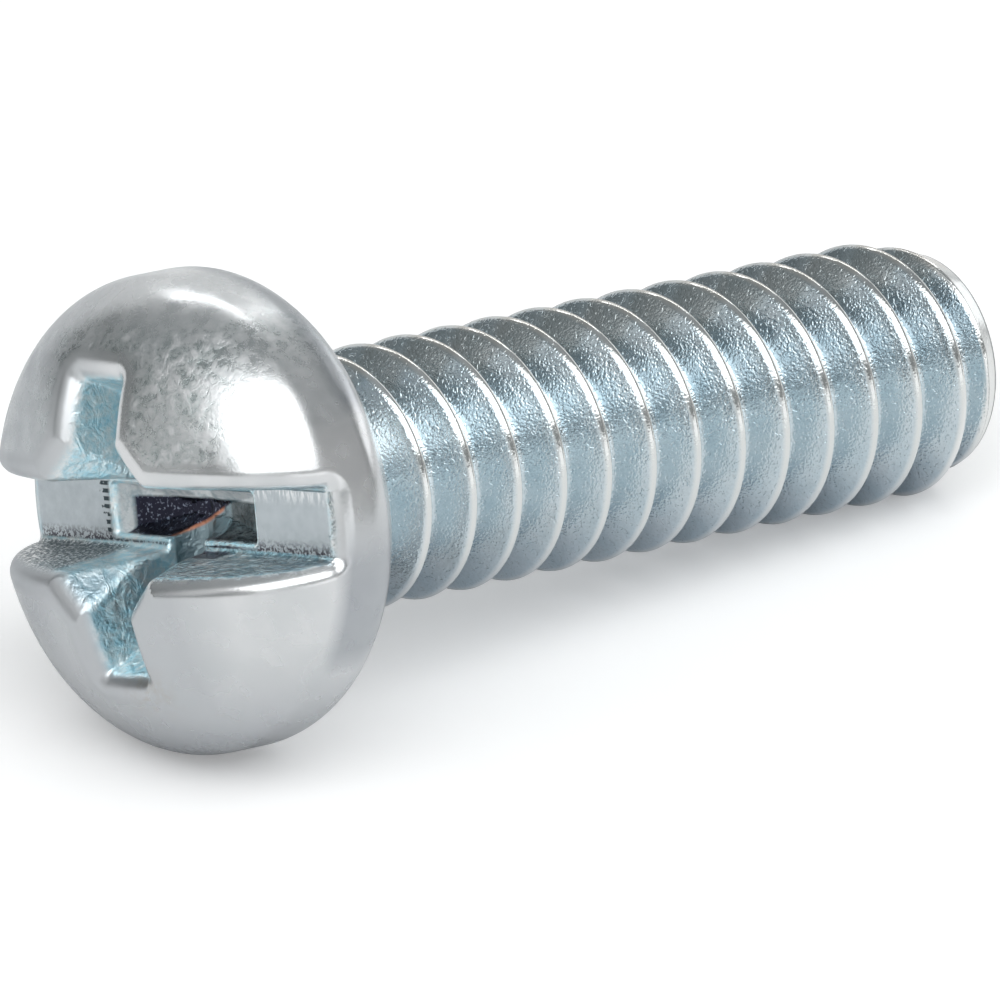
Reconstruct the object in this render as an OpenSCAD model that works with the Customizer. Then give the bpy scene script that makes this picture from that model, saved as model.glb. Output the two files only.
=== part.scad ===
// Round-head machine screw with a slot and a four-winged recess in its crown.
// It lies as it comes to rest, on the rim of its head and one crest near its tip.

/* [Thread] */
// Diameter over the crests
thread_diameter = 4.7; // [4.4:0.01:5]
// Advance along the screw in one turn
thread_pitch = 1.0583; // [1:0.0001:1.15]
// Depth of the groove below the crests
thread_depth = 0.65; // [0.5:0.01:0.7]
// Width of the flat on top of each crest
crest_width = 0.15; // [0.1:0.01:0.2]
// Distance from the head to the first crest, on the side that faces down
first_crest = 0.23; // [0.15:0.01:0.6]
// Sides of the helix in one turn
turn_sides = 48; // [24:4:56]

/* [Shank] */
// Length from under the head to the tip
shank_length = 15.875; // [12:0.005:16.5]
// Length over which the thread rises to full height below the head
thread_run_in = 0.9; // [0.4:0.05:1.5]
// Diameter of the tip's end face
tip_diameter = 3.92; // [3.6:0.02:4.3]
// Length of the cone that leads from the tip to the full diameter
tip_cone = 1; // [0.6:0.05:1.4]

/* [Head] */
// Diameter of the head
head_diameter = 8.58; // [7.8:0.02:9.2]
// Height of the domed crown above the rim
crown_height = 2.27; // [1.9:0.01:2.6]
// Height of the straight rim between the crown and the lower rounding
rim_height = 0.73; // [0.4:0.01:1]
// Radius of the rounding that leads under the head
rim_rounding = 0.95; // [0.6:0.01:1.2]
// Height of the fillet where the shank meets the head
neck_height = 0.75; // [0.4:0.05:1.2]

/* [Drive] */
// Width of the slot at its floor
slot_width = 1.31; // [1.1:0.01:1.5]
// Height of the slot's floor above the bearing face
slot_floor = 1.67; // [1.4:0.01:2.2]
// Height of the recess's bottom above the bearing face
recess_floor = 0.75; // [0.5:0.01:1.2]
// Width of each wing of the recess, at the slot's floor
wing_width = 0.92; // [0.8:0.01:1.1]
// Reach of each wing from the axis, at the slot's floor
wing_reach = 1.94; // [1.7:0.01:2.1]
// Lean of the wings' end walls away from the axis, in degrees
wing_lean = 24.8; // [18:0.1:28]
// Reach of the flutes between the wings, at the top of the crown
flute_reach = 2.3; // [1.9:0.01:2.5]
// Draft of the walls of the slot and the wings, in degrees
wall_draft = 4.5; // [0:0.1:6]

/* [Pose] */
// Roll of the slot about the screw's axis, in degrees from straight down
slot_roll = 74; // [0:0.1:180]

/* [Hidden] */

flank_angle = 30;
thread_radius = thread_diameter / 2;
root_radius = thread_radius - thread_depth;
tip_radius = tip_diameter / 2;
head_radius = head_diameter / 2;
rim_start = rim_rounding + rim_height;
head_height = rim_start + crown_height;
root_width = thread_pitch - crest_width - 2 * thread_depth * tan(flank_angle);
// The fillet starts just outside the thread, so that a washer clears it, and
// ends inside the shank.
washer_clearance = 0.07;
neck_overlap = 0.1;
neck_radius = thread_radius + washer_clearance;
neck_depth = neck_radius - root_radius + neck_overlap;
neck_sides = 6;
crown_sides = 24;
rounding_sides = 8;
head_sides = 96;
overlap = 0.5;
clear_above = 1;

// Offsets within one turn, from the crest's centre, of the two edges of its
// flat and the two edges of the groove's flat bottom.
ridge = [
    -crest_width / 2,
    crest_width / 2,
    (thread_pitch - root_width) / 2,
    (thread_pitch + root_width) / 2
];
ridge_points = len(ridge);
turns = ceil(shank_length / thread_pitch) + 2;
shortest_edge = thread_pitch / turn_sides;

function clamp(value, low, high) = max(low, min(high, value));

// Radius of the plain round blank that the thread is rolled on, by height
// below the head: it swells from the root at the head and narrows at the tip.
function blank_radius(height) = min(
    root_radius + thread_depth * clamp(height / thread_run_in, 0, 1),
    tip_radius + (thread_radius - tip_radius) * clamp((shank_length - height) / tip_cone, 0, 1)
);

// Radius of the endless thread at a distance from its nearest crest's centre.
function ridge_radius(offset) = thread_radius
    - thread_depth * clamp((abs(offset) - crest_width / 2) / (thread_depth * tan(flank_angle)), 0, 1);

// The same, cut down to the blank, at a height and at one of the helix's sides.
function nearest_crest(height, side) =
    let (phase = (height - first_crest) / thread_pitch - side / turn_sides)
    thread_pitch * (phase - round(phase));
function shank_radius(height, side) = min(
    blank_radius(height),
    ridge_radius(nearest_crest(height, side))
);

// Height of one point of the ridge: index counts the points along the screw.
function ridge_height(index, side) = first_crest
    + thread_pitch * (floor(index / ridge_points) - 1 + side / turn_sides)
    + ridge[index % ridge_points];

// Numbers of the ridge's points that lie on the shank along one side.
function side_indices(side) = [
    for (index = [0 : ridge_points * (turns + 1)])
        if (ridge_height(index, side) > shortest_edge
            && ridge_height(index, side) < shank_length - shortest_edge) index
];
function ring_point(radius, side, height) = [
    radius * cos(360 * side / turn_sides),
    radius * sin(360 * side / turn_sides),
    height
];
// One side of the shank, from inside the head to the edge of the tip.
function side_points(side, indices) = concat(
    [ring_point(root_radius, side, -overlap)],
    [
        for (index = indices)
            let (height = ridge_height(index, side))
            ring_point(shank_radius(height, side), side, height)
    ],
    [ring_point(shank_radius(shank_length, side), side, shank_length)]
);
function running_sum(counts, upto) = upto == 0 ? 0 : counts[upto - 1] + running_sum(counts, upto - 1);

// Faces between one side, whose points start at place a, and the next, whose
// points start at place b. Each list of indices names the points between the
// first and the last point of its side, so equal indices lie on one helix.
function strip_faces(a, a_indices, b, b_indices) =
    let (
        a_last = len(a_indices),
        b_last = len(b_indices),
        a_first_index = a_indices[0],
        b_first_index = b_indices[0],
        a_end_index = a_indices[a_last - 1],
        b_end_index = b_indices[b_last - 1],
        extra_at_head = a_first_index - b_first_index,
        extra_at_tip = a_end_index - b_end_index,
        shared = min(a_end_index, b_end_index) - max(a_first_index, b_first_index)
    )
    concat(
        [[a, b + 1, b], [a, a + 1, b + 1]],
        extra_at_head > 0 ? [[a + 1, b + 2, b + 1]] : [],
        [
            for (step = [1 : shared])
                let (low = a + step, next = b + step + extra_at_head)
                each [[low, low + 1, next + 1], [low, next + 1, next]]
        ],
        extra_at_tip > 0 ? [[a + a_last - 1, a + a_last, b + b_last]] : [],
        [[a + a_last, a + a_last + 1, b + b_last], [a + a_last + 1, b + b_last + 1, b + b_last]]
    );

// The shank is one closed shell. The last side meets the first one a turn
// later, so the first side's indices are counted back by one turn there.
module threaded_shank() {
    sides = [for (side = [0 : turn_sides - 1]) side_indices(side)];
    counts = [for (indices = sides) len(indices) + 2];
    starts = [for (side = [0 : turn_sides]) running_sum(counts, side)];
    points = [for (side = [0 : turn_sides - 1]) each side_points(side, sides[side])];
    inner_centre = len(points);
    tip_centre = inner_centre + 1;
    walls = [
        for (side = [0 : turn_sides - 1])
            let (
                next = (side + 1) % turn_sides,
                next_indices = next == 0 ? [for (index = sides[0]) index - ridge_points] : sides[next]
            )
            each strip_faces(starts[side], sides[side], starts[next], next_indices)
    ];
    ends = [
        for (side = [0 : turn_sides - 1])
            let (next = (side + 1) % turn_sides)
            each [
                [inner_centre, starts[side], starts[next]],
                [tip_centre, starts[next] + counts[next] - 1, starts[side] + counts[side] - 1]
            ]
    ];
    polyhedron(
        points = concat(points, [[0, 0, -overlap], [0, 0, shank_length]]),
        faces = concat(walls, ends)
    );
}

// Half of the head's section: neck fillet, bearing face, lower rounding, rim
// and crown.
head_section = concat(
    [[0, neck_height]],
    [
        for (step = [0 : neck_sides])
            let (angle = 90 * step / neck_sides)
            [neck_radius - neck_depth * cos(angle), neck_height * (1 - sin(angle))]
    ],
    [
        for (step = [0 : rounding_sides])
            let (angle = 90 * step / rounding_sides)
            [head_radius - rim_rounding * (1 - sin(angle)), -rim_rounding * (1 - cos(angle))]
    ],
    [
        for (step = [0 : crown_sides])
            let (angle = 90 * step / crown_sides)
            [head_radius * cos(angle), -rim_start - crown_height * sin(angle)]
    ]
);

module head_blank() {
    rotate_extrude($fn = head_sides) polygon(head_section);
}

// A cutter as wide as said at the slot's floor, whose two faces lean apart
// towards the crown. It lies along the local X axis.
module drafted_cutter(width, floor_height, length) {
    top = head_height + clear_above;
    floor_reach = width / 2 - (slot_floor - floor_height) * tan(wall_draft);
    top_reach = width / 2 + (top - slot_floor) * tan(wall_draft);
    rotate([90, 0, 90]) linear_extrude(height = length, center = true)
        polygon([
            [-top_reach, -top], [-floor_reach, -floor_height],
            [floor_reach, -floor_height], [top_reach, -top]
        ]);
}

// The slot runs right across the crown.
module slot() {
    drafted_cutter(slot_width, slot_floor, head_diameter + clear_above);
}

// Two opposite wings: leaning end walls over a shallow vee.
module wing_pair() {
    top = head_height + clear_above;
    knee = recess_floor + (slot_floor - recess_floor) / 2;
    top_reach = wing_reach + (top - slot_floor) * tan(wing_lean);
    knee_reach = wing_reach - (slot_floor - knee) * tan(wing_lean);
    point_reach = wing_width / 2;
    intersection() {
        drafted_cutter(wing_width, recess_floor, head_diameter);
        rotate([90, 0, 0]) linear_extrude(height = head_diameter, center = true)
            polygon([
                [-top_reach, -top], [-knee_reach, -knee], [-point_reach, -recess_floor],
                [point_reach, -recess_floor], [knee_reach, -knee], [top_reach, -top]
            ]);
    }
}

// Half of the square pyramid, turned by 45 degrees, that hollows the corners
// between the wings: the pyramid is the overlap of two wedges.
module wedge(turn) {
    top = head_height + clear_above;
    bottom_reach = wing_width / 4;
    slope = (flute_reach - bottom_reach) / (head_height - recess_floor);
    top_face = (flute_reach + slope * clear_above) / sqrt(2);
    bottom_face = bottom_reach / sqrt(2);
    rotate([0, 0, turn]) rotate([90, 0, 0]) linear_extrude(height = head_diameter, center = true)
        polygon([
            [-top_face, -top], [-bottom_face, -recess_floor],
            [bottom_face, -recess_floor], [top_face, -top]
        ]);
}

module flutes() {
    intersection() {
        wedge(45);
        wedge(135);
    }
}

module head() {
    difference() {
        head_blank();
        rotate([0, 0, slot_roll]) {
            slot();
            wing_pair();
            rotate([0, 0, 90]) wing_pair();
            flutes();
        }
    }
}

// Dip of the axis at which a point of the shank's underside, at a distance
// from the head, touches the floor together with the rounding under the head.
function dip_to(height, radius) =
    let (
        run = height + rim_rounding,
        drop = head_radius - rim_rounding - radius
    )
    atan2(drop, run) + asin(rim_rounding / norm([run, drop]));
underside = side_indices(0);
rest_dip = min([
    for (index = underside)
        let (height = ridge_height(index, 0))
        dip_to(height, shank_radius(height, 0))
]);
rest_height = (head_radius - rim_rounding) * cos(rest_dip) - rim_rounding * sin(rest_dip) + rim_rounding;
reach_to_tip = shank_length * cos(rest_dip) + tip_radius * sin(rest_dip);
reach_to_crown = rim_start * cos(rest_dip)
    + norm([head_radius * sin(rest_dip), crown_height * cos(rest_dip)]);

// The screw is built with its axis along Z, its bearing face at zero and its
// tip up, then laid down so that its tip points along X.
module machine_screw() {
    color("silver")
        translate([(reach_to_crown - reach_to_tip) / 2, 0, rest_height])
            rotate([0, 90 + rest_dip, 0])
                union() {
                    head();
                    threaded_shank();
                }
}

machine_screw();
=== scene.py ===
"""A zinc-plated round-head machine screw lying on a white table."""

import math

import bpy
import numpy as np
from mathutils import Matrix, Vector


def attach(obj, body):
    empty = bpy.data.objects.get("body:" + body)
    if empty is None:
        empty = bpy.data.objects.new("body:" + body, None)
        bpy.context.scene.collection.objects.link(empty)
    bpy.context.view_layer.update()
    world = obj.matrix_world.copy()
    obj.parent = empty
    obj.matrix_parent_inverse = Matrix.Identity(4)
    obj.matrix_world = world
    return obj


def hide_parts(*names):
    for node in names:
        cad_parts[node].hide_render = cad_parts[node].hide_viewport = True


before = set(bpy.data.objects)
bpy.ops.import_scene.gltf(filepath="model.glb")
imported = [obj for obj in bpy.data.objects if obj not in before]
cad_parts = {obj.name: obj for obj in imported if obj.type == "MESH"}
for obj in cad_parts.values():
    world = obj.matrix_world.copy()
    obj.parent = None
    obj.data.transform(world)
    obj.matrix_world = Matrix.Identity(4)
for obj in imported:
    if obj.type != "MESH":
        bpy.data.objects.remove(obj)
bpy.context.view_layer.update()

# Lengths of the screw in millimetres, in its own frame: the axis is Z, the
# bearing face under the head is at zero and the tip is up.
PITCH = 1.0583
THREAD_RADIUS = 2.35
THREAD_DEPTH = 0.65
ROOT_RADIUS = THREAD_RADIUS - THREAD_DEPTH
CREST_WIDTH = 0.11
CREST_EASE = 0.1
ROOT_EASE = 0.1
BLANK_EASE = 0.03
FIRST_CREST = 0.23
FLANK_ANGLE = math.radians(30)
SHANK_LENGTH = 15.875
SHANK_START = -0.3
RUN_IN = 0.9
TIP_RADIUS = 1.96
TIP_CONE = 1.0
TIP_ROUNDING = 0.07
TIP_DISH = 0.04
TIP_EDGE_HEIGHT = SHANK_LENGTH - TIP_ROUNDING

HEAD_RADIUS = 4.29
CROWN_HEIGHT = 2.27
RIM_HEIGHT = 0.73
RIM_ROUNDING = 0.95
RIM_START = RIM_ROUNDING + RIM_HEIGHT
NECK_RADIUS = 0.68
STUB_INSET = 0.02

SLOT_WIDTH = 1.31
SLOT_FLOOR = 1.67
RECESS_FLOOR = 0.75
WING_WIDTH = 0.92
WING_REACH = 1.94
WING_LEAN = math.tan(math.radians(24.8))
DRAFT = math.tan(math.radians(4.5))
FLUTE_REACH = 2.3
LIP_ROUNDING = 0.35
INNER_ROUNDING = 0.09

# The pose of the screw at rest, in degrees and millimetres.
SLOT_ROLL = math.radians(74)
REST_DIP = math.radians(7.10631)
BEARING_PLACE = (-6.0071, 0.0, 4.14682)

# How fine the meshes are: cells of the head in millimetres, finer over the slot
# and the recess, and the steps round and along the thread.
FINE_CELL = 0.045
SLOT_CELL = 0.06
COARSE_CELL = 0.085
FINE_ACROSS = 1.3
FINE_HEIGHT = 0.6
THREAD_SIDES = 150
ROWS_PER_TURN = 26
SPARE_ROWS = 8
ROUNDING_STEPS = 6
END_FACE_SHARES = (0.93, 0.8, 0.6, 0.35, 0.12)

MM = 0.001
TINY = 1e-9


# Poses and meshes

def laid_down(points):
    """Points or directions of the screw's own frame, turned as it rests."""
    dip_cos, dip_sin = math.cos(REST_DIP), math.sin(REST_DIP)
    turn = np.array([
        [-dip_sin, 0.0, dip_cos],
        [0.0, 1.0, 0.0],
        [-dip_cos, 0.0, -dip_sin],
    ])
    return points @ turn.T


def build_piece(name, points, faces, normals, masks):
    """An object with its place in its mesh, exact normals and named masks."""
    mesh = bpy.data.meshes.new(name)
    placed = (laid_down(points) + np.array(BEARING_PLACE)) * MM
    mesh.from_pydata(placed.tolist(), [], faces)
    mesh.polygons.foreach_set("use_smooth", [True] * len(mesh.polygons))
    mesh.normals_split_custom_set_from_vertices(laid_down(normals).tolist())
    for mask_name, values in masks.items():
        layer = mesh.attributes.new(mask_name, "FLOAT", "POINT")
        layer.data.foreach_set("value", values.astype(np.float32))
    mesh.validate()
    piece = bpy.data.objects.new(name, mesh)
    bpy.context.scene.collection.objects.link(piece)
    return piece


def smooth_step(low, high, value):
    """0 below low, 1 above high, and an even curve between them."""
    t = np.clip((value - low) / (high - low), 0.0, 1.0)
    return t * t * (3.0 - 2.0 * t)


def unit(vectors):
    """Vectors brought to a length of one."""
    return vectors / (np.linalg.norm(vectors, axis=-1, keepdims=True) + TINY)


# The head, as signed distances: negative inside the metal or the cutter

def rounded_and(a, b, radius):
    """Where both solids are, with the edge between them rounded."""
    corner = np.hypot(np.maximum(a + radius, 0.0), np.maximum(b + radius, 0.0))
    return np.minimum(-radius, np.maximum(a, b)) + corner


def rounded_or(a, b, radius):
    """Either solid, with a fillet where they meet."""
    return -rounded_and(-a, -b, radius)


def head_blank(x, y, height):
    """The head before its recess: rounding under the rim, rim and dome."""
    r = np.hypot(x, y)
    out = r - (HEAD_RADIUS - RIM_ROUNDING)
    down = RIM_ROUNDING - height
    corner = np.hypot(np.maximum(out, 0), np.maximum(down, 0))
    low = corner + np.minimum(np.maximum(out, down), 0) - RIM_ROUNDING
    rise = height - RIM_START
    scaled = np.hypot(r / HEAD_RADIUS, rise / CROWN_HEIGHT) + TINY
    slope = np.hypot(r / HEAD_RADIUS ** 2, rise / CROWN_HEIGHT ** 2) / scaled + TINY
    return np.where(rise > 0, (scaled - 1.0) / slope, low)


def drafted_walls(across, height, width):
    """Two walls that are width apart at the slot's floor."""
    reach = width / 2 + (height - SLOT_FLOOR) * DRAFT
    return (np.abs(across) - reach) / math.hypot(1.0, DRAFT)


def wing_pair(along, across, height):
    """Two opposite wings of the recess over a shallow vee."""
    walls = drafted_walls(across, height, WING_WIDTH)
    ends = np.abs(along) - WING_REACH - (height - SLOT_FLOOR) * WING_LEAN
    ends = ends / math.hypot(1.0, WING_LEAN)
    knee = (SLOT_FLOOR - RECESS_FLOOR) / 2
    knee_reach = WING_REACH - knee * WING_LEAN
    vee_slope = knee / (knee_reach - WING_WIDTH / 2)
    past_point = np.maximum(np.abs(along) - WING_WIDTH / 2, 0)
    vee = (RECESS_FLOOR - height + past_point * vee_slope) / math.hypot(1.0, vee_slope)
    return rounded_and(rounded_and(walls, ends, INNER_ROUNDING), vee, INNER_ROUNDING)


def flutes(x, y, height):
    """A square pyramid turned by 45 degrees, which hollows the corners."""
    bottom = WING_WIDTH / 4
    top = RIM_START + CROWN_HEIGHT - RECESS_FLOOR
    slope = (FLUTE_REACH - bottom) / top
    reach = bottom + (height - RECESS_FLOOR) * slope
    sides = (np.abs(x) + np.abs(y) - reach) / math.sqrt(2.0 + slope ** 2)
    return rounded_and(sides, RECESS_FLOOR - height, INNER_ROUNDING)


def recess(x, y, height):
    """What the slot, the wings and the flutes take away together."""
    slot_walls = drafted_walls(y, height, SLOT_WIDTH)
    slot = rounded_and(slot_walls, SLOT_FLOOR - height, INNER_ROUNDING)
    wings = np.minimum(wing_pair(x, y, height), wing_pair(y, x, height))
    cut = rounded_or(wings, flutes(x, y, height), INNER_ROUNDING)
    return rounded_or(cut, slot, INNER_ROUNDING)


def head_solid(points):
    """The head with a stub of shank. X runs along the slot, Z is the height."""
    x, y, height = points[..., 0], points[..., 1], points[..., 2]
    head = rounded_and(head_blank(x, y, height), -recess(x, y, height), LIP_ROUNDING)
    stub = np.maximum(np.hypot(x, y) - ROOT_RADIUS + STUB_INSET, -height - NECK_RADIUS)
    stub = np.maximum(stub, height - RIM_ROUNDING)
    return rounded_or(head, stub, NECK_RADIUS)


def from_slot_frame(vectors):
    """From the slot's frame, with the head upright, to the screw's own."""
    roll_cos, roll_sin = math.cos(SLOT_ROLL), math.sin(SLOT_ROLL)
    turn = np.array([
        [roll_cos, roll_sin, 0.0],
        [roll_sin, -roll_cos, 0.0],
        [0.0, 0.0, -1.0],
    ])
    return vectors @ turn.T


def gradient(solid, points):
    """Slope of a signed distance, which points out of the metal."""
    step = 0.002
    sides = []
    for axis in np.eye(3) * step:
        sides.append((solid(points + axis) - solid(points - axis)) / (2 * step))
    return np.stack(sides, axis=-1)


def graded_axis(stops):
    """Grid planes. Each stop is a place and the spacing up to the next one."""
    planes = []
    for (start, cell), (end, _) in zip(stops, stops[1:]):
        count = max(1, round((end - start) / cell))
        planes.append(np.linspace(start, end, count, endpoint=False))
    return np.concatenate(planes + [[stops[-1][0]]])


def window(axis, along_axis, across_axes):
    """Slices of a grid: one along the given axis and one across it."""
    slices = [across_axes] * 3
    slices[axis] = along_axis
    return tuple(slices)


def net_points(grid, value, cells):
    """The middle of the surface's crossings in each cell, and the cells' numbers."""
    inside = value < 0
    total = np.zeros(cells + (3,))
    crossings = np.zeros(cells)
    for axis in range(3):
        first = window(axis, slice(0, -1), slice(None))
        second = window(axis, slice(1, None), slice(None))
        crossed = inside[first] != inside[second]
        drop = value[first] - value[second] + 1e-12
        share = np.where(crossed, value[first] / drop, 0.0)
        place = grid[first] + share[..., None] * (grid[second] - grid[first])
        place = place * crossed[..., None]
        one, other = [k for k in range(3) if k != axis]
        for shift_one in (0, 1):
            for shift_other in (0, 1):
                part = [slice(None)] * 3
                part[one] = slice(shift_one, shift_one + cells[one])
                part[other] = slice(shift_other, shift_other + cells[other])
                total += place[tuple(part)]
                crossings += crossed[tuple(part)]
    used = crossings > 0
    number = np.full(cells, -1)
    number[used] = np.arange(used.sum())
    return total[used] / crossings[used][:, None], number


def net_faces(inside, number):
    """One quad round each grid edge that the surface crosses, facing outwards."""
    faces = []
    for axis in range(3):
        start_inside = inside[window(axis, slice(0, -1), slice(1, -1))]
        crossed = start_inside != inside[window(axis, slice(1, None), slice(1, -1))]
        place = np.argwhere(crossed)
        one, other = (axis + 1) % 3, (axis + 2) % 3
        place[:, one] += 1
        place[:, other] += 1
        corners = []
        for shift_one, shift_other in ((1, 1), (0, 1), (0, 0), (1, 0)):
            corner = place.copy()
            corner[:, one] -= shift_one
            corner[:, other] -= shift_other
            corners.append(number[corner[:, 0], corner[:, 1], corner[:, 2]])
        quads = np.stack(corners, axis=-1)
        inward = ~start_inside[crossed]
        quads[inward] = quads[inward][:, ::-1]
        faces.append(quads)
    return np.concatenate(faces)


def surface_net(solid, axes):
    """Quads round a solid: one point in each cell that its surface crosses."""
    grid = np.stack(np.meshgrid(*axes, indexing="ij"), axis=-1)
    value = solid(grid)
    cells = tuple(len(axis) - 1 for axis in axes)
    points, number = net_points(grid, value, cells)
    return points, net_faces(value < 0, number)


def drawn_to_surface(solid, points):
    """Points moved onto the exact surface, a part of a cell at a time."""
    rounds = 4
    longest_move = 0.3 * FINE_CELL
    flattest_slope = 0.05
    for _ in range(rounds):
        slope = gradient(solid, points)
        steepness = np.maximum((slope ** 2).sum(-1), flattest_slope)
        move = slope * (solid(points) / steepness)[:, None]
        size = np.linalg.norm(move, axis=1, keepdims=True)
        points -= move * np.minimum(1.0, longest_move / np.maximum(size, TINY))
    return points


def make_head():
    """The head's mesh, with points and normals set on the exact surface."""
    reach = HEAD_RADIUS + 2 * COARSE_CELL
    crown = RIM_START + CROWN_HEIGHT + 2 * COARSE_CELL
    along = graded_axis([(-reach, SLOT_CELL), (reach, SLOT_CELL)])
    across = graded_axis([
        (-reach, COARSE_CELL),
        (-FINE_ACROSS, FINE_CELL),
        (FINE_ACROSS, COARSE_CELL),
        (reach, COARSE_CELL),
    ])
    height = graded_axis([
        (-NECK_RADIUS - COARSE_CELL, COARSE_CELL),
        (FINE_HEIGHT, FINE_CELL),
        (crown, FINE_CELL),
    ])
    points, faces = surface_net(head_solid, (along, across, height))
    points = drawn_to_surface(head_solid, points)
    normals = unit(gradient(head_solid, points))
    masks = head_masks(points, normals)
    points, normals = from_slot_frame(points), from_slot_frame(normals)
    return build_piece("screw_head", points, faces.tolist(), normals, masks)


def head_masks(points, normals):
    """Where the recess, its lips and its floor are, and places in its frame."""
    x, y, height = points[:, 0], points[:, 1], points[:, 2]
    above_bottom = height > RECESS_FLOOR - 0.1
    depth = -head_blank(x, y, height)
    inside_recess = smooth_step(0.1, 0.4, depth) * above_bottom
    from_recess = recess(x, y, height)
    near = 1 - smooth_step(LIP_ROUNDING, 1.6 * LIP_ROUNDING, from_recess)
    level = smooth_step(0.97, 0.995, normals[:, 2])
    return {
        "recess": inside_recess,
        "lip": near * (1 - inside_recess) * above_bottom,
        "slot_floor": level * inside_recess,
        "along": x,
        "across": -y,
        "height": height,
    }


# The threaded shank, as a radius by height and angle

def soft_min(a, b, width):
    """The lesser of two lengths, with the change from one to the other eased."""
    mix = np.clip(0.5 + 0.5 * (b - a) / width, 0.0, 1.0)
    return b + (a - b) * mix - width * mix * (1.0 - mix)


def cone_radius(height):
    """Radius of the cone that leads to the tip."""
    return TIP_RADIUS + (THREAD_RADIUS - TIP_RADIUS) * (SHANK_LENGTH - height) / TIP_CONE


def thread_radius(height, turn):
    """Radius at a height, and at an angle counted in turns."""
    phase = (height - FIRST_CREST) / PITCH - turn
    offset = np.abs(phase - np.round(phase)) * PITCH
    flank = THREAD_RADIUS - (offset - CREST_WIDTH / 2) / math.tan(FLANK_ANGLE)
    ridge = soft_min(flank, np.full_like(flank, THREAD_RADIUS), CREST_EASE)
    ridge = -soft_min(-ridge, np.full_like(flank, -ROOT_RADIUS), ROOT_EASE)
    swell = ROOT_RADIUS + THREAD_DEPTH * smooth_step(0.0, RUN_IN, height)
    blank = soft_min(swell, cone_radius(height), BLANK_EASE)
    return soft_min(ridge, blank, BLANK_EASE)


def shank_point(height, turn, inset=0.0):
    """A point of the shank, drawn in towards the axis by the inset."""
    radius = thread_radius(height, turn) - inset
    angle = 2 * math.pi * turn
    return np.stack([radius * np.cos(angle), radius * np.sin(angle), height], axis=-1)


def shank_normals(height, turn):
    """Normals of the thread from the slopes of its radius."""
    step = 0.0005
    radius = thread_radius(height, turn)
    along = thread_radius(height + step, turn) - thread_radius(height - step, turn)
    around = thread_radius(height, turn + step) - thread_radius(height, turn - step)
    sideways = around / (2 * step) / (2 * math.pi * radius)
    angle = 2 * math.pi * turn
    return unit(np.stack([
        np.cos(angle) + sideways * np.sin(angle),
        np.sin(angle) - sideways * np.cos(angle),
        -along / (2 * step),
    ], axis=-1))


def helix_net():
    """Points, normals and quads in rows that follow the helix, cut at both ends."""
    rows_to_tip = int((SHANK_LENGTH - SHANK_START) / PITCH * ROWS_PER_TURN)
    rows = np.arange(-ROWS_PER_TURN - SPARE_ROWS, rows_to_tip + SPARE_ROWS)
    row, side = np.meshgrid(rows, np.arange(THREAD_SIDES), indexing="ij")
    turn = side / THREAD_SIDES
    endless = SHANK_START + PITCH * (row / ROWS_PER_TURN + turn)
    height = np.clip(endless, SHANK_START, TIP_EDGE_HEIGHT)
    points = shank_point(height, turn).reshape(-1, 3)
    normals = shank_normals(height, turn).reshape(-1, 3)
    number = np.arange(row.size).reshape(row.shape)
    upper, lower = number[1:], number[:-1]
    next_upper, next_lower = next_side(upper), next_side(lower)
    quads = np.stack([lower, next_lower, next_upper, upper], axis=-1).reshape(-1, 4)
    quads = quads[(quads >= 0).all(axis=1)]
    span = endless.reshape(-1)[quads]
    kept = (span.max(axis=1) > SHANK_START) & (span.min(axis=1) < TIP_EDGE_HEIGHT)
    return points, normals, quads[kept]


def next_side(number):
    """The points one side on. The last side meets the first one a turn later."""
    following = np.full_like(number, -1)
    following[:, :-1] = number[:, 1:]
    following[:-ROWS_PER_TURN, -1] = number[ROWS_PER_TURN:, 0]
    return following


def tip_rings():
    """Rings of points and normals: the tip's rounded edge and its dished end."""
    turn = np.arange(THREAD_SIDES) / THREAD_SIDES
    height = np.full(THREAD_SIDES, TIP_EDGE_HEIGHT)
    outward = shank_normals(height, turn)
    rings, normals = [], []
    for step in range(ROUNDING_STEPS + 1):
        angle = 0.5 * math.pi * step / ROUNDING_STEPS
        ring = shank_point(height, turn, TIP_ROUNDING * (1 - math.cos(angle)))
        ring[:, 2] += TIP_ROUNDING * math.sin(angle)
        rings.append(ring)
        lean = outward * math.cos(angle)
        lean[:, 2] += math.sin(angle)
        normals.append(unit(lean))
    edge = rings[-1]
    for share in END_FACE_SHARES:
        ring = edge.copy()
        ring[:, :2] *= share
        ring[:, 2] -= TIP_DISH * (1 - share) ** 0.5
        rings.append(ring)
        normals.append(np.tile([0.0, 0.0, 1.0], (THREAD_SIDES, 1)))
    return rings, normals


def closing_faces(ring, middle):
    """Flat faces from every second point of a ring to the point in its middle."""
    first, second, third = ring[0::2], ring[1::2], np.roll(ring, -1)[1::2]
    return np.stack([first, second, third, np.full_like(first, middle)], axis=-1)


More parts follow.
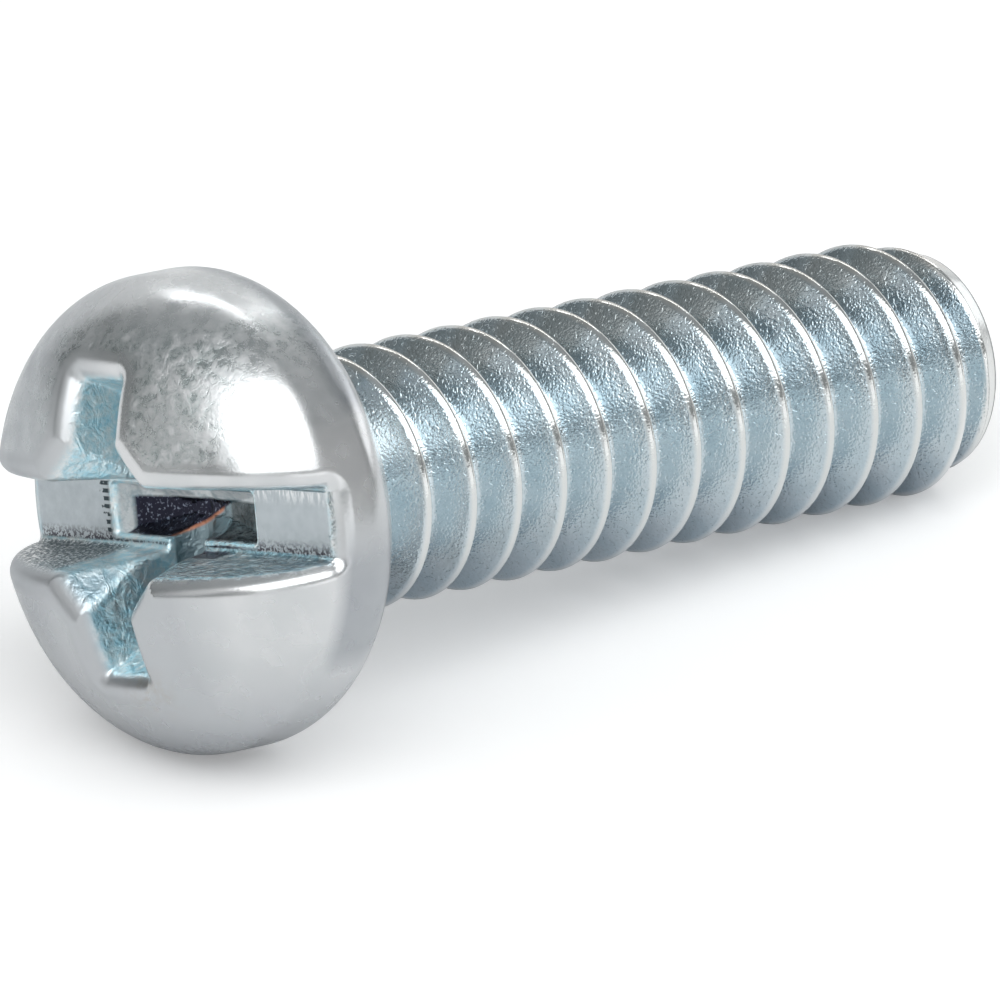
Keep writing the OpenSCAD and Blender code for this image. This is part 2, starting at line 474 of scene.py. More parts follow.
def closed_shank(points, normals, quads):
    """The helix's net with its tip, and with its inner end inside the head."""
    rings, ring_normals = tip_rings()
    turn = np.arange(THREAD_SIDES) / THREAD_SIDES
    inner_height = np.full(THREAD_SIDES, SHANK_START)
    rings.append(shank_point(inner_height, turn))
    ring_normals.append(shank_normals(inner_height, turn))
    middles = [[0.0, 0.0, SHANK_LENGTH - TIP_DISH], [0.0, 0.0, SHANK_START]]
    middle_normals = [[0.0, 0.0, 1.0], [0.0, 0.0, -1.0]]
    number = np.arange(len(rings) * THREAD_SIDES).reshape(len(rings), THREAD_SIDES)
    number += len(points)
    points = np.concatenate([points, *rings, middles])
    normals = np.concatenate([normals, *ring_normals, middle_normals])
    tip_middle, inner_middle = len(points) - 2, len(points) - 1
    inner, outer = number[1:-1], number[:-2]
    bands = np.stack([outer, np.roll(outer, -1, 1), np.roll(inner, -1, 1), inner], axis=-1)
    faces = np.concatenate([
        quads,
        bands.reshape(-1, 4),
        closing_faces(number[-2], tip_middle),
        closing_faces(number[-1], inner_middle)[:, ::-1],
    ])
    used = np.unique(faces)
    renumber = np.full(len(points), -1)
    renumber[used] = np.arange(len(used))
    return joined(points[used], normals[used], renumber[faces])


def joined(points, normals, faces):
    """Points at one place become one point, and faces drop corners that repeat."""
    places = np.round(points, 6)
    _, first, number = np.unique(places, axis=0, return_index=True, return_inverse=True)
    kept = []
    for face in number.reshape(-1)[faces].tolist():
        corners = [corner for k, corner in enumerate(face) if corner != face[k - 1]]
        if len(corners) > 2:
            kept.append(corners)
    return points[first], normals[first], kept


def shank_masks(points):
    """Where the crests, the cone and the end are, and which side faces where."""
    radius, height = np.hypot(points[:, 0], points[:, 1]), points[:, 2]
    down = points[:, 0] / np.maximum(radius, TINY)
    on_cone = 1.0 - smooth_step(0.03, 0.08, cone_radius(height) - radius)
    end_edge = smooth_step(TIP_EDGE_HEIGHT, TIP_EDGE_HEIGHT + 0.3 * TIP_ROUNDING, height)
    end_face = end_edge * (1.0 - smooth_step(0.9, 0.97, radius / TIP_RADIUS))
    upper = smooth_step(0.3, 0.7, -down) * (1.0 - smooth_step(0.93, 0.97, -down))
    near_head = 1.0 - smooth_step(0.8, 3.2, height)
    return {
        "underside": smooth_step(0.25, 0.85, down),
        "topside": smooth_step(0.955, 0.985, -down),
        "upper_tip": np.clip(height / SHANK_LENGTH, 0.0, 1.0) * upper,
        "upper_start": 0.6 * near_head * upper,
        "crest": np.clip((radius - ROOT_RADIUS) / THREAD_DEPTH, 0.0, 1.0),
        "cone": np.maximum(on_cone, end_edge),
        "end_edge": end_edge,
        "end_face": end_face,
    }


def make_shank():
    """The threaded shank's mesh, closed at both ends."""
    points, normals, faces = closed_shank(*helix_net())
    return build_piece("threaded_shank", points, faces, normals, shank_masks(points))


# Materials. Colours are linear shares of red, green and blue.

WHITE = (1.0, 1.0, 1.0)
PLATE_DULL, PLATE_BRIGHT = (0.71, 0.73, 0.74), (0.79, 0.80, 0.81)
PLATE_MOTTLE = (0.62, 0.69, 0.68)
EDGE_SHADE_TINT = (0.53, 0.55, 0.58)
STAIN_BROWN = (0.46, 0.40, 0.33)

WALL_TEAL, WALL_PALE = (0.6, 0.86, 0.95), (0.96, 1.0, 1.0)
WALL_PITS = (0.26, 0.29, 0.31)
WALL_BLOTCHES = (0.52, 0.62, 0.68)
FLUTE_DARK, FLUTE_LIGHT = (0.36, 0.49, 0.56), (0.56, 0.68, 0.74)
FLOOR_DARK, FLOOR_LIGHT = (0.49, 0.54, 0.57), (0.58, 0.63, 0.66)
FLOOR_NICKS = (0.9, 0.92, 0.93)
FLOOR_SPECKS = (0.12, 0.12, 0.14)
SCRATCH_DARK = (0.06, 0.08, 0.09)
REFLECTION_PALE = (0.7, 0.75, 0.77)
WING_SHADE = (0.16, 0.16, 0.2)
DEEP_SHADE_DARK, DEEP_SHADE_SPECKS = (0.035, 0.035, 0.055), (0.34, 0.38, 0.48)
DEEP_SHADE_PALE = (0.28, 0.36, 0.39)
OLIVE_DARK, OLIVE_LIGHT = (0.07, 0.085, 0.09), (0.17, 0.2, 0.21)
ORANGE_REFLECTION = (0.62, 0.25, 0.14)

THREAD_DULL, THREAD_BRIGHT = (0.60, 0.70, 0.75), (0.68, 0.76, 0.80)
THREAD_PITS = (0.86, 0.87, 0.87)
CREST_BRIGHT = (0.80, 0.82, 0.81)
CONE_HIGHLIGHT = (0.9, 0.91, 0.9)
UNDERSIDE_SHADE = (0.71, 0.73, 0.77)
TOPSIDE_SHADE = (0.82, 0.79, 0.76)
FIRST_TURNS_REFLECTION = (0.88, 0.93, 0.95)
TIP_SHADE = (0.78, 0.79, 0.8)
END_EDGE_SHADE = (0.3, 0.32, 0.33)
SHEARED_DARK, SHEARED_LIGHT = (0.45, 0.50, 0.52), (0.70, 0.74, 0.75)

# Heights of the fine relief, in millimetres.
MOTTLE_RELIEF = 0.018
GRAIN_RELIEF = 0.0012
DENT_RELIEF, TORN_RELIEF = 0.05, 0.12
FINE_RELIEF, PITTED_RELIEF = 0.008, 0.03
PIT_RELIEF = 0.0044
HOLE_RELIEF = 0.005
SHEARED_RELIEF = 0.06

# Places of the marks, painted shade and painted reflection in the slot's frame, in
# millimetres: along the slot, across it and up. The line of the painted orange
# reflection is held as the shares of along and across and a length that add up
# to the distance from the line.
LOWER_WALL = -0.62
LOWER_WALL_END = -0.95
PITTED_START = 1.5
DEEP_TOP = SLOT_FLOOR - 0.12
DEEP_STRIP = 0.19
DEEP_END = 1.72
SCRATCH_ROW = 2.06
SCRATCH_SPACING = 0.14
STAIN_ALONG, STAIN_ACROSS = -0.6, -2.9
SHADE_ALONG = -0.8
REFLECTION_LINE = (0.44, 0.898, 0.168)


class Nodes:
    """Short calls for building a node tree."""

    def __init__(self, tree):
        self.tree = tree
        self.tree.nodes.clear()

    def add(self, kind, **settings):
        """A new node with some of its settings changed."""
        node = self.tree.nodes.new(kind)
        for name, value in settings.items():
            setattr(node, name, value)
        return node

    def link(self, source, target):
        """A wire from one node's output to another's input."""
        self.tree.links.new(source, target)

    def coordinates(self):
        """Object coordinates in millimetres."""
        place = self.add("ShaderNodeTexCoord")
        scale = self.add("ShaderNodeMapping")
        scale.inputs["Scale"].default_value = (1 / MM, 1 / MM, 1 / MM)
        self.link(place.outputs["Object"], scale.inputs["Vector"])
        return scale.outputs["Vector"]

    def noise(self, vector, size, detail=2.0, roughness=0.5, distortion=0.0):
        """Noise whose features are size millimetres across."""
        node = self.add("ShaderNodeTexNoise")
        node.inputs["Scale"].default_value = 1 / size
        node.inputs["Detail"].default_value = detail
        node.inputs["Roughness"].default_value = roughness
        node.inputs["Distortion"].default_value = distortion
        self.link(vector, node.inputs["Vector"])
        return node.outputs["Fac"]

    def dimples(self, vector, size, reach):
        """0 at the middle of scattered round dimples, 1 between them."""
        node = self.add("ShaderNodeTexVoronoi")
        node.inputs["Scale"].default_value = 1 / size
        self.link(vector, node.inputs["Vector"])
        return self.range(node.outputs["Distance"], 0.1, reach)

    def ramp(self, value, low, high, low_color, high_color):
        """A colour that goes from one to the other as value goes from low to high."""
        node = self.add("ShaderNodeValToRGB")
        node.color_ramp.elements[0].position = low
        node.color_ramp.elements[0].color = (*low_color, 1.0)
        node.color_ramp.elements[1].position = high
        node.color_ramp.elements[1].color = (*high_color, 1.0)
        self.link(value, node.inputs["Fac"])
        return node.outputs["Color"]

    def range(self, value, low, high, at_low=0.0, at_high=1.0):
        """A number that goes from at_low to at_high as value goes from low to high."""
        limits = {"From Min": low, "From Max": high, "To Min": at_low, "To Max": at_high}
        node = self.add("ShaderNodeMapRange")
        for name, number in limits.items():
            node.inputs[name].default_value = number
        self.link(value, node.inputs["Value"])
        return node.outputs["Result"]

    def below(self, value, limit, ease):
        """1 where value is under the limit, 0 over it."""
        return self.range(value, limit - ease / 2, limit + ease / 2, 1.0, 0.0)

    def above(self, value, limit, ease):
        """1 where value is over the limit, 0 under it."""
        return self.range(value, limit - ease / 2, limit + ease / 2)

    def near(self, value, middle, reach, ease):
        """1 where value is within reach of the middle, 0 away from it."""
        distance = self.math("ABSOLUTE", self.math("SUBTRACT", value, middle))
        return self.below(distance, reach, ease)

    def math(self, operation, a, b=0.0):
        """One step of arithmetic with numbers or outputs."""
        node = self.add("ShaderNodeMath", operation=operation)
        for slot, value in ((0, a), (1, b)):
            if isinstance(value, (int, float)):
                node.inputs[slot].default_value = value
            else:
                self.link(value, node.inputs[slot])
        return node.outputs["Value"]

    def combined(self, operation, values):
        """The same step of arithmetic from each value to the next."""
        total = values[0]
        for value in values[1:]:
            total = self.math(operation, total, value)
        return total

    def product(self, *values):
        """All the values multiplied."""
        return self.combined("MULTIPLY", values)

    def sum(self, *values):
        """All the values added."""
        return self.combined("ADD", values)

    def greatest(self, *values):
        """The greatest of the values."""
        return self.combined("MAXIMUM", values)

    def mix(self, factor, a, b, blend="MIX"):
        """A colour that goes from a to b, or to their blend, with the factor."""
        node = self.add("ShaderNodeMix", data_type="RGBA", blend_type=blend)
        for slot, value in (("Factor", factor), ("A", a), ("B", b)):
            socket = [s for s in node.inputs if s.name == slot and s.enabled][0]
            if isinstance(value, tuple):
                socket.default_value = (*value, 1.0)
            elif isinstance(value, (int, float)):
                socket.default_value = value
            else:
                self.link(value, socket)
        return [s for s in node.outputs if s.enabled][0]

    def tint(self, factor, color, tint):
        """The colour, multiplied by the tint where the factor is 1."""
        return self.mix(factor, color, tint, "MULTIPLY")

    def mask(self, name):
        """A value that the mesh holds at each of its points."""
        node = self.add("ShaderNodeAttribute", attribute_name=name)
        return node.outputs["Fac"]

    def bump(self, height):
        """Bump from a height in millimetres."""
        node = self.add("ShaderNodeBump")
        node.inputs["Strength"].default_value = 1.0
        node.inputs["Distance"].default_value = MM
        self.link(height, node.inputs["Height"])
        return node.outputs["Normal"]


def new_material(name):
    """A metal material, with its nodes and its shader."""
    material = bpy.data.materials.new(name)
    material.use_nodes = True
    nodes = Nodes(material.node_tree)
    shader = nodes.add("ShaderNodeBsdfPrincipled")
    output = nodes.add("ShaderNodeOutputMaterial")
    nodes.link(shader.outputs["BSDF"], output.inputs["Surface"])
    shader.inputs["Metallic"].default_value = 1.0
    return material, nodes, shader


def slot_frame(nodes):
    """Places along the slot, across it and up, in millimetres."""
    return nodes.mask("along"), nodes.mask("across"), nodes.mask("height")


def head_zinc():
    """Satin zinc: a mottled side, painted shade round its edges, smooth lips and a bluer
    recess with painted shade and a painted pale reflection.
    """
    material, nodes, shader = new_material("zinc_head")
    place = nodes.coordinates()
    clouds = nodes.noise(place, size=0.9, detail=3.0)
    patches = nodes.noise(place, size=0.45, detail=1.0)
    mottle = nodes.noise(place, size=0.2, detail=5.0, roughness=0.7, distortion=0.4)
    grain = nodes.noise(place, size=0.05, detail=1.0)
    inside = nodes.mask("recess")
    calm = nodes.greatest(inside, nodes.mask("lip"))
    bare = nodes.math("SUBTRACT", 1.0, calm)
    worn = nodes.product(worn_side(nodes, clouds), bare)
    pale_reflection_mask = nodes.product(pale_reflection_part(nodes), inside)

    plate = nodes.ramp(clouds, 0.35, 0.65, PLATE_DULL, PLATE_BRIGHT)
    plate = nodes.tint(worn, plate, nodes.ramp(mottle, 0.36, 0.6, PLATE_MOTTLE, WHITE))
    # Painted shade: the dome is darkened round its edge, standing in for the darker floor
    # and room that the edge mirrors.
    plate = nodes.tint(painted_edge_shade(nodes, clouds), plate, EDGE_SHADE_TINT)
    plate = nodes.mix(stain(nodes, mottle), plate, STAIN_BROWN)
    color = nodes.mix(inside, plate, recess_color(nodes, place))
    nodes.link(color, shader.inputs["Base Color"])
    # Painted reflection: the pale strip is made less metallic, so that it reads lighter.
    nodes.link(nodes.range(pale_reflection_mask, 0.0, 1.0, 1.0, 0.4), shader.inputs["Metallic"])

    worn_haze = nodes.product(worn, nodes.range(mottle, 0.35, 0.65, -0.06, 0.24))
    haze = nodes.sum(nodes.range(patches, 0.3, 0.7, 0.21, 0.3), worn_haze)
    calm_haze = nodes.range(nodes.mask("along"), -0.6, 0.4, 0.27, 0.42)
    calm_haze = nodes.sum(calm_haze, nodes.product(pale_reflection_mask, 0.42))
    rough = nodes.sum(nodes.product(haze, bare), nodes.product(calm_haze, calm))
    nodes.link(rough, shader.inputs["Roughness"])

    skin = nodes.product(mottle, worn, MOTTLE_RELIEF)
    skin = nodes.sum(skin, nodes.product(grain, GRAIN_RELIEF))
    stamped = nodes.product(recess_relief(nodes, place), inside)
    nodes.link(nodes.bump(nodes.sum(skin, stamped)), shader.inputs["Normal"])
    return material


def worn_side(nodes, clouds):
    """1 on the part of the dome that handling has mottled, with a ragged edge."""
    along, across, _ = slot_frame(nodes)
    return nodes.product(
        nodes.range(along, -3.5, -2.4),
        nodes.range(along, 0.4, 1.8, 1.0, 0.35),
        nodes.range(across, 0.6, 1.2),
        nodes.range(across, 3.2, 3.7, 1.0, 0.15),
        nodes.range(clouds, 0.35, 0.6, 0.6, 1.0),
    )


def painted_edge_shade(nodes, clouds):
    """1 where shade is painted on the dome: all round its edge, but for the top."""
    along, across, height = slot_frame(nodes)
    low = nodes.range(across, -2.2, -4.1)
    beside_wing = nodes.product(
        nodes.range(along, -2.9, -1.8, 0.0, 0.6),
        nodes.below(across, -0.9, 0.6),
    )
    left = nodes.range(along, -0.4, 2.4)
    right = nodes.product(
        nodes.range(along, -3.1, -3.6),
        nodes.range(across, 0.3, -0.8, 0.1, 0.95),
        nodes.below(height, 1.6, 0.4),
    )
    back = nodes.product(nodes.range(across, 1.7, 2.1), nodes.below(height, 1.0, 0.4))
    edge = nodes.greatest(low, beside_wing, left, right, back)
    return nodes.product(edge, nodes.range(clouds, 0.3, 0.7, 0.65, 1.0))


def stain(nodes, mottle):
    """A faint brown stain below the lower wing."""
    along, across, _ = slot_frame(nodes)
    return nodes.product(
        nodes.near(along, STAIN_ALONG, 0.5, 0.5),
        nodes.near(across, STAIN_ACROSS, 0.35, 0.4),
        nodes.range(mottle, 0.45, 0.65, 0.0, 0.4),
    )


def recess_color(nodes, place):
    """Teal walls, a neutral slot floor, painted shade by one wing, a strip painted pale as a
    reflection and deep wings painted dark as shade.
    """
    along, across, height = slot_frame(nodes)
    blotch = nodes.noise(place, size=0.22, detail=4.0, roughness=0.65)
    specks = nodes.noise(place, size=0.06, detail=2.0)
    wall = wall_color(nodes, blotch, specks)
    floor = floor_color(nodes, blotch, specks)
    color = nodes.mix(nodes.mask("slot_floor"), wall, floor)
    # Painted reflection: the deep wing's upper strip and near end are painted pale.
    pale_reflection_color = nodes.ramp(blotch, 0.35, 0.55, REFLECTION_PALE, WHITE)
    color = nodes.mix(pale_reflection_part(nodes), color, pale_reflection_color)
    shade = nodes.product(
        nodes.near(along, SHADE_ALONG, 0.42, 0.1),
        nodes.below(across, LOWER_WALL, 0.05),
        nodes.below(height, 2.1, 0.1),
    )
    color = nodes.mix(shade, color, WING_SHADE)
    return nodes.mix(deep_part(nodes), color, deep_shade_color(nodes, blotch, specks))


def wall_color(nodes, blotch, specks):
    """Teal zinc, whose lower wall is pitted at one end and blotched at the other."""
    along, across, _ = slot_frame(nodes)
    lower_wall = nodes.below(across, LOWER_WALL, 0.05)
    color = nodes.ramp(blotch, 0.35, 0.62, WALL_TEAL, WALL_PALE)
    left = nodes.product(lower_wall, nodes.above(along, PITTED_START, 0.3))
    color = nodes.mix(left, color, nodes.ramp(specks, 0.48, 0.62, WALL_PITS, WHITE))
    right = nodes.product(lower_wall, nodes.below(along, -1.0, 0.3), 0.8)
    color = nodes.mix(right, color, nodes.ramp(blotch, 0.42, 0.55, WALL_BLOTCHES, WHITE))
    flute = nodes.product(nodes.below(across, -0.85, 0.2), nodes.above(along, 0.6, 0.08))
    return nodes.mix(flute, color, nodes.ramp(blotch, 0.35, 0.62, FLUTE_DARK, FLUTE_LIGHT))


def floor_color(nodes, blotch, specks):
    """Neutral zinc with bright nicks, a dark foot and a row of scratches."""
    along, across, _ = slot_frame(nodes)
    color = nodes.ramp(blotch, 0.3, 0.7, FLOOR_DARK, FLOOR_LIGHT)
    ticks = nodes.noise(slot_place(nodes, squeeze=0.25), size=0.07, detail=2.0)
    nicks = nodes.product(
        nodes.above(across, 0.4, 0.24),
        nodes.below(along, -0.8, 0.2),
        nodes.range(ticks, 0.48, 0.6),
    )
    color = nodes.mix(nicks, color, FLOOR_NICKS)
    foot = nodes.product(nodes.below(across, -0.42, 0.2), nodes.below(specks, 0.5, 0.06))
    color = nodes.mix(foot, color, FLOOR_SPECKS)
    return nodes.mix(tool_marks(nodes), color, SCRATCH_DARK)


def slot_place(nodes, squeeze=1.0):
    """Coordinates on the slot's floor. A squeeze below 1 makes streaks across it."""
    along, across, _ = slot_frame(nodes)
    place = nodes.add("ShaderNodeCombineXYZ")
    nodes.link(along, place.inputs["X"])
    nodes.link(nodes.product(across, squeeze), place.inputs["Y"])
    return place.outputs["Vector"]


def tool_marks(nodes):
    """A row of short scratches on the slot's floor, at the mouth of one wing."""
    along, across, _ = slot_frame(nodes)
    wander = nodes.noise(slot_place(nodes), size=0.12, detail=1.0)
    reach = nodes.sum(
        nodes.range(across, -0.15, 0.25, 0.06, 0.15),
        nodes.range(wander, 0.3, 0.7, -0.09, 0.07),
    )
    from_row = nodes.math("ABSOLUTE", nodes.math("SUBTRACT", along, SCRATCH_ROW))
    inside = nodes.below(nodes.math("SUBTRACT", from_row, reach), 0.0, 0.03)
    waves = nodes.math("SINE", nodes.product(across, 2 * math.pi / SCRATCH_SPACING))
    return nodes.product(inside, nodes.range(waves, -0.4, 0.1))


def pale_reflection_part(nodes):
    """1 on the deep wing's upper strip and on its near end, where a pale reflection is
    painted.
    """
    along, across, height = slot_frame(nodes)
    end = nodes.above(along, DEEP_END, 0.06)
    strip = nodes.above(across, DEEP_STRIP, 0.05)
    return nodes.product(nodes.below(height, DEEP_TOP, 0.06), nodes.greatest(end, strip))


def deep_part(nodes):
    """1 in the wings below the slot's floor, but for their upper strip and end."""
    along, across, height = slot_frame(nodes)
    return nodes.product(
        nodes.below(height, DEEP_TOP, 0.06),
        nodes.below(across, DEEP_STRIP, 0.05),
        nodes.below(along, DEEP_END, 0.06),
    )


def deep_shade_color(nodes, blotch, specks):
    """Painted shade: dark with bright specks, paler on one side of a line, olive at one end,
    and a painted orange reflection along the line.
    """
    along, across, _ = slot_frame(nodes)
    along_share, across_share, offset = REFLECTION_LINE
    from_line = nodes.sum(
        nodes.product(along, along_share),
        nodes.product(across, across_share),
        offset,
    )
    # Painted shade in the deep wings, standing in for their self-shadow and the dark walls
    # they mirror.
    deep_shade = nodes.ramp(specks, 0.58, 0.75, DEEP_SHADE_DARK, DEEP_SHADE_SPECKS)
    color = nodes.mix(nodes.below(from_line, 0.0, 0.04), deep_shade, DEEP_SHADE_PALE)
    olive = nodes.ramp(blotch, 0.4, 0.65, OLIVE_DARK, OLIVE_LIGHT)
    color = nodes.mix(nodes.below(along, -0.66, 0.08), color, olive)
    # Painted reflection: an orange streak along the line.
    streak = nodes.product(
        nodes.near(from_line, 0.0, 0.03, 0.04),
        nodes.below(along, 0.66, 0.1),
        nodes.above(along, -0.42, 0.1),
        0.8,
    )
    return nodes.mix(streak, color, ORANGE_REFLECTION)


def recess_relief(nodes, place):
    """Stamping marks, as heights in millimetres."""
    along, across, _ = slot_frame(nodes)
    dents = nodes.noise(place, size=0.3, detail=2.0, roughness=0.55, distortion=0.8)
    fine = nodes.noise(place, size=0.06, detail=1.0)
    slot_wall = nodes.product(
        nodes.below(across, LOWER_WALL, 0.05),
        nodes.above(across, LOWER_WALL_END, 0.05),
    )
    left = nodes.product(slot_wall, nodes.above(along, PITTED_START, 0.3))
    right = nodes.product(slot_wall, nodes.below(along, -0.9, 0.3))
    dents = nodes.product(dents, nodes.range(right, 0.0, 1.0, DENT_RELIEF, TORN_RELIEF))
    fine = nodes.product(fine, nodes.range(left, 0.0, 1.0, FINE_RELIEF, PITTED_RELIEF))
    calm = nodes.range(nodes.mask("slot_floor"), 0.0, 1.0, 1.0, 0.08)
    return nodes.product(nodes.sum(dents, fine), calm)


def thread_zinc():
    """Bluer zinc with the fine pits of a rolled thread, and a sheared end face."""
    material, nodes, shader = new_material("zinc_thread")
    place = nodes.coordinates()
    grain = nodes.noise(place, size=0.05, detail=1.0)
    dimples = nodes.dimples(place, size=0.075, reach=0.42)
    pits = nodes.product(dimples, nodes.range(grain, 0.4, 0.7, 1.0, 0.4))
    holes = nodes.range(nodes.noise(place, size=0.075, detail=0.0), 0.64, 0.72, 1.0, 0.0)
    sheared = nodes.noise(place, size=0.35, detail=4.0, roughness=0.6, distortion=0.5)
    smooth = nodes.greatest(nodes.range(nodes.mask("crest"), 0.88, 0.97), nodes.mask("cone"))
    end_face = nodes.mask("end_face")

    end_color = nodes.ramp(sheared, 0.35, 0.65, SHEARED_DARK, SHEARED_LIGHT)
    color = nodes.mix(end_face, thread_color(nodes, place, pits, smooth), end_color)
    nodes.link(color, shader.inputs["Base Color"])

    rough = nodes.sum(nodes.range(pits, 0.0, 1.0, 0.11, 0.17), nodes.product(end_face, 0.2))
    nodes.link(rough, shader.inputs["Roughness"])

    skin = nodes.sum(nodes.product(pits, PIT_RELIEF), nodes.product(holes, HOLE_RELIEF))
    skin = nodes.product(skin, nodes.range(smooth, 0.0, 1.0, 1.0, 0.2))
    skin = nodes.sum(skin, nodes.product(sheared, end_face, SHEARED_RELIEF))
    nodes.link(nodes.bump(skin), shader.inputs["Normal"])
    return material


def thread_color(nodes, place, pits, smooth):
    """Blue zinc: brighter on crests, with a painted reflection on the first turns, a painted
    highlight on the cone, and painted shade underneath, on top, towards the tip and on the
    tip's edge.
    """
    clouds = nodes.noise(place, size=0.6, detail=3.0)
    color = nodes.ramp(clouds, 0.35, 0.65, THREAD_DULL, THREAD_BRIGHT)
    color = nodes.tint(1.0, color, nodes.ramp(pits, 0.0, 1.0, THREAD_PITS, WHITE))
    color = nodes.mix(smooth, color, CREST_BRIGHT)
    # Painted highlight: the cone is lightened to near white.
    color = nodes.mix(nodes.mask("cone"), color, CONE_HIGHLIGHT)
    # Painted shade: the underside is darkened, standing in for the shadowed floor it
    # mirrors.
    color = nodes.tint(nodes.mask("underside"), color, UNDERSIDE_SHADE)
    # Painted shade: the top of the thread is darker and warmer, as where it mirrors the dark
    # room.
    color = nodes.tint(nodes.mask("topside"), color, TOPSIDE_SHADE)
    # Painted reflection: the upper side of the first turns is lightened, as where they
    # mirror the head.
    color = nodes.mix(nodes.mask("upper_start"), color, FIRST_TURNS_REFLECTION)
    # Painted shade: the upper side darkens towards the tip, fading its highlight band.
    color = nodes.tint(nodes.mask("upper_tip"), color, TIP_SHADE)
    # Painted shade: the tip's rounded edge is dark.
    return nodes.mix(nodes.mask("end_edge"), color, END_EDGE_SHADE)


# The studio, in metres and degrees

FLOOR_REACH = 6.0
LAMP_DISTANCE = 1.2
CARD_DISTANCE = 1.5
TIP_CARD_DISTANCE = 1.4
CARD_STEPS = 24
ROOM_LOW, ROOM_HIGH = (0.195, 0.205, 0.205), (0.31, 0.325, 0.33)

CAMERA_PLACE = (-0.265487, -0.31023, 0.190077)
CAMERA_YAW = math.radians(49.478)
CAMERA_PITCH = math.radians(24.693)
CAMERA_LENS = 907.7
SENSOR_WIDTH = 36.0


def direction(azimuth, elevation):
    """Unit vector from the screw, by degrees round and above the floor."""
    a, e = math.radians(azimuth), math.radians(elevation)
    return Vector((math.cos(e) * math.cos(a), math.cos(e) * math.sin(a), math.sin(e)))


def softbox(name, azimuth, elevation, width, height, radiance, roll=0.0):
    """A rectangular lamp that faces the screw. radiance 1 looks white."""
    light = bpy.data.lights.new(name, "AREA")
    light.shape = "RECTANGLE"
    light.size = width
    light.size_y = height
    light.energy = radiance * math.pi * width * height
    lamp = bpy.data.objects.new(name, light)
    lamp.location = direction(azimuth, elevation) * LAMP_DISTANCE
    facing = (-lamp.location).to_track_quat("-Z", "Y").to_matrix()
    lamp.rotation_euler = (facing @ Matrix.Rotation(math.radians(roll), 3, "Z")).to_euler()
    bpy.context.scene.collection.objects.link(lamp)


def studio_sheet(name, points, faces, paper):
    """A thin piece of the studio, which isn't part of the screw."""
    mesh = bpy.data.meshes.new(name)
    mesh.from_pydata(points, [], faces)
    mesh.materials.append(paper)
    piece = bpy.data.objects.new(name, mesh)
    bpy.context.scene.collection.objects.link(piece)


def curved_card(name, azimuths, elevations, color, glow, distance=CARD_DISTANCE):
    """A card that stands round the screw, between angles seen from it."""
    first, last = azimuths
    bottom, top = (distance * math.tan(math.radians(angle)) for angle in elevations)
    points = []
    for step in range(CARD_STEPS + 1):
        angle = math.radians(first + (last - first) * step / CARD_STEPS)
        x, y = distance * math.cos(angle), distance * math.sin(angle)
        points += [(x, y, bottom), (x, y, top)]
    faces = [(2 * k, 2 * k + 2, 2 * k + 3, 2 * k + 1) for k in range(CARD_STEPS)]
    studio_sheet(name, points, faces, white_paper(name + "_paper", color, glow, glow))


def white_paper(name, color, camera_glow, mirror_glow):
    """Matt paper, brightened by its own share where the camera or metal sees it."""
    material = bpy.data.materials.new(name)
    material.use_nodes = True
    nodes = Nodes(material.node_tree)
    output = nodes.add("ShaderNodeOutputMaterial")
    matt = nodes.add("ShaderNodeBsdfDiffuse")
    matt.inputs["Color"].default_value = (color, color, color, 1.0)
    glow = nodes.add("ShaderNodeEmission")
    path = nodes.add("ShaderNodeLightPath").outputs
    mirrored = nodes.greatest(path["Is Glossy Ray"], path["Is Transmission Ray"])
    strength = nodes.sum(
        nodes.product(path["Is Camera Ray"], camera_glow),
        nodes.product(mirrored, mirror_glow),
    )
    nodes.link(strength, glow.inputs["Strength"])
    both = nodes.add("ShaderNodeAddShader")
    nodes.link(matt.outputs["BSDF"], both.inputs[0])
    nodes.link(glow.outputs["Emission"], both.inputs[1])
    nodes.link(both.outputs["Shader"], output.inputs["Surface"])
    return material


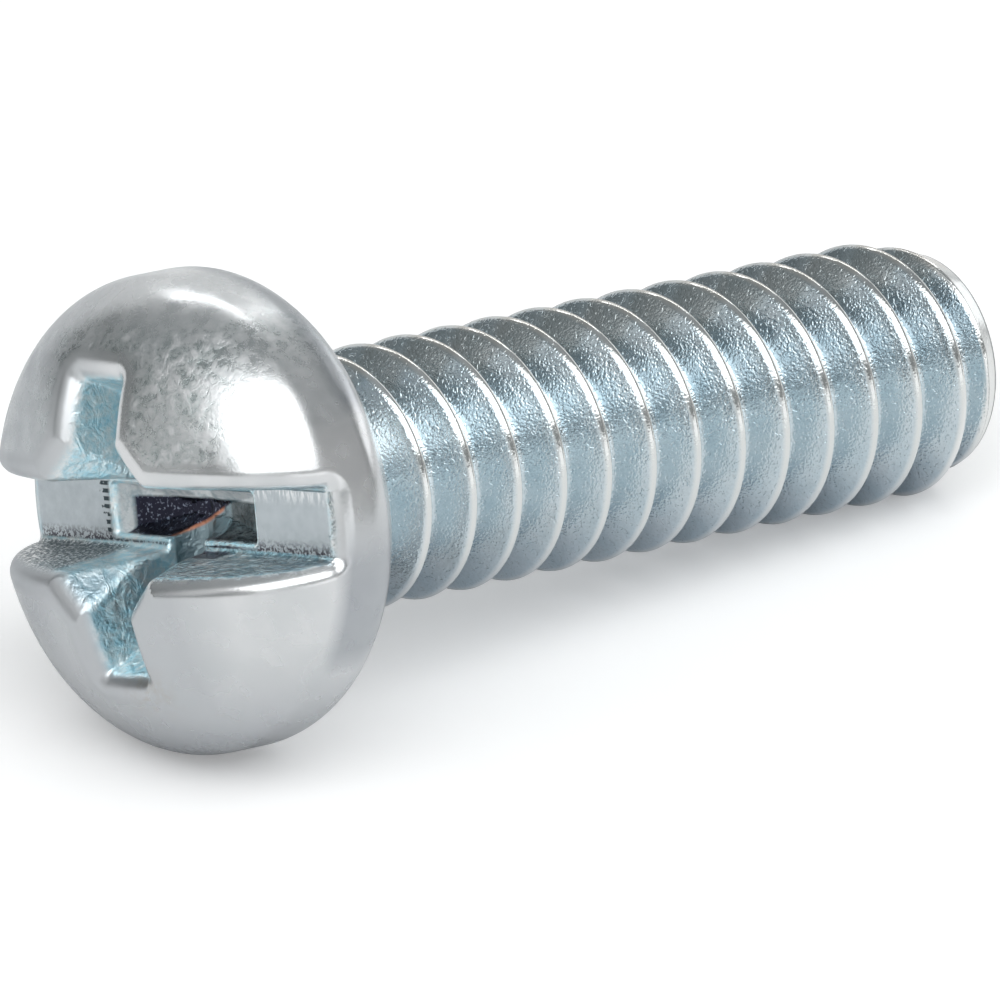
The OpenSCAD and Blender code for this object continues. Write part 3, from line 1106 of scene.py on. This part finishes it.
def make_world():
    """A grey room, white where the camera looks past the floor."""
    world = bpy.data.worlds.new("room")
    bpy.context.scene.world = world
    world.use_nodes = True
    nodes = Nodes(world.node_tree)
    output = nodes.add("ShaderNodeOutputWorld")
    room = nodes.add("ShaderNodeBackground")
    path = nodes.add("ShaderNodeLightPath")
    place = nodes.add("ShaderNodeTexCoord")
    axes = nodes.add("ShaderNodeSeparateXYZ")
    nodes.link(place.outputs["Generated"], axes.inputs["Vector"])
    room_color = nodes.ramp(axes.outputs["Z"], 0.3, 0.6, ROOM_LOW, ROOM_HIGH)
    color = nodes.mix(path.outputs["Is Camera Ray"], room_color, WHITE)
    nodes.link(color, room.inputs["Color"])
    nodes.link(room.outputs["Background"], output.inputs["Surface"])


def make_studio():
    """The floor, two softboxes, and white cards for the metal to mirror."""
    corners = [
        (-FLOOR_REACH, -FLOOR_REACH, 0.0),
        (FLOOR_REACH, -FLOOR_REACH, 0.0),
        (FLOOR_REACH, FLOOR_REACH, 0.0),
        (-FLOOR_REACH, FLOOR_REACH, 0.0),
    ]
    floor_paper = white_paper("floor_paper", 0.9, camera_glow=0.25, mirror_glow=0.03)
    studio_sheet("floor", corners, [(0, 1, 2, 3)], floor_paper)
    softbox("key_softbox", -122, 55, width=2.25, height=0.99, radiance=2.2, roll=14)
    softbox("back_softbox", 53, 43, width=0.85, height=0.12, radiance=4.5)
    curved_card("back_card", (-10, 95), (0, 37), color=0.8, glow=0.25)
    curved_card("tip_card", (-22, 4), (4, 18), 0.8, 0.9, TIP_CARD_DISTANCE)
    curved_card("tip_card_back", (4, 26), (2, 15), 0.8, 0.9, TIP_CARD_DISTANCE)
    curved_card("left_card", (147, 172), (8, 41), color=0.3, glow=0.45)
    curved_card("right_card", (-56, -30), (4, 34), color=0.2, glow=0.27)
    curved_card("side_card", (-118, -56), (0, 16), color=0.8, glow=0.6)
    curved_card("front_card", (200, 242), (0, 21), color=0.5, glow=0.4)
    make_world()


def make_camera():
    """A long lens near the head's end, looking down on the screw."""
    camera = bpy.data.cameras.new("camera")
    camera.sensor_width = SENSOR_WIDTH
    camera.lens = CAMERA_LENS
    camera.clip_start = 0.01
    camera.clip_end = 50.0
    holder = bpy.data.objects.new("camera", camera)
    holder.location = CAMERA_PLACE
    holder.rotation_euler = (math.pi / 2 - CAMERA_PITCH, 0.0, CAMERA_YAW - math.pi / 2)
    bpy.context.scene.collection.objects.link(holder)
    bpy.context.scene.camera = holder


make_camera()
make_studio()
bpy.context.scene.view_settings.view_transform = "Standard"

for piece, material in ((make_head(), head_zinc()), (make_shank(), thread_zinc())):
    piece.data.materials.append(material)
    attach(piece, "root")
    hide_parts("machine_screw")
